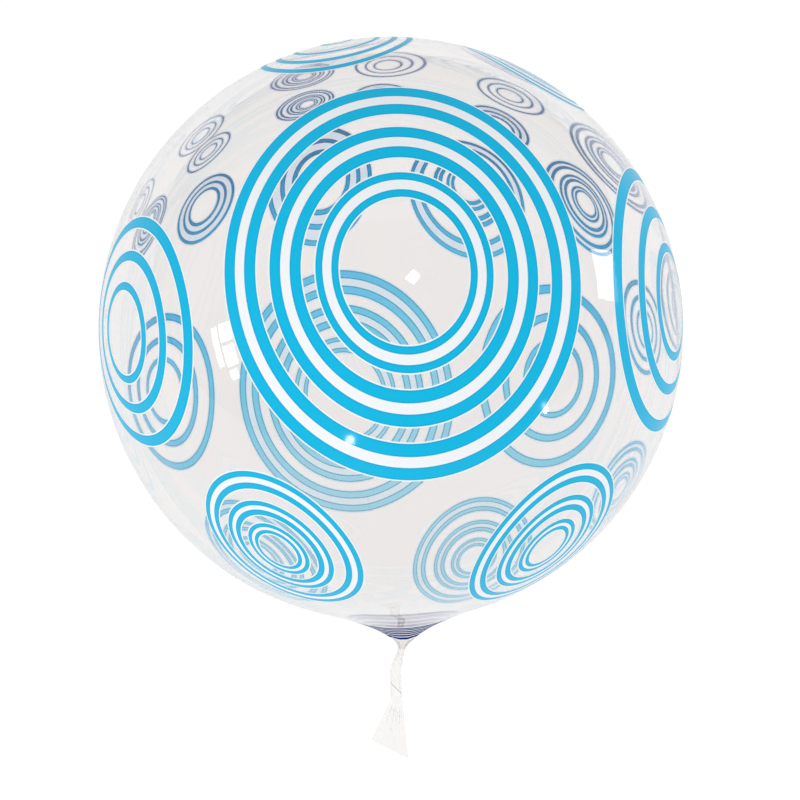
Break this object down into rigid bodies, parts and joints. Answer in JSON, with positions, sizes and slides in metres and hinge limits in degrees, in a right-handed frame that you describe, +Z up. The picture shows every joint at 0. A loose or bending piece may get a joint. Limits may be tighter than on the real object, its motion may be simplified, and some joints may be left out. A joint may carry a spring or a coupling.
{
  "type": "bubble balloon",
  "caption": "Clear plastic film bubble balloon printed with groups of concentric rings, drawn in to a twisted neck and a flat tail cut at a slant.",
  "frame": {"origin": "middle of the small flat spot that the ball rests on", "axes": "+Z up from the floor, the neck and tail towards -Y, +X to the right as seen from the tail's side"},
  "size_m": [0.5, 0.5307, 0.4982],
  "materials": {
    "clear_film": "clear stretch film, glossy, with small pleats where it is gathered at the neck",
    "cyan_ink": "opaque cyan printing ink over a white underprint, smooth, follows the film's gloss",
    "white_ink": "opaque white printing ink, smooth, follows the film's gloss"
  },
  "bodies": {
    "root": {"balloon": "clear_film"}
  },
  "joints": []
}
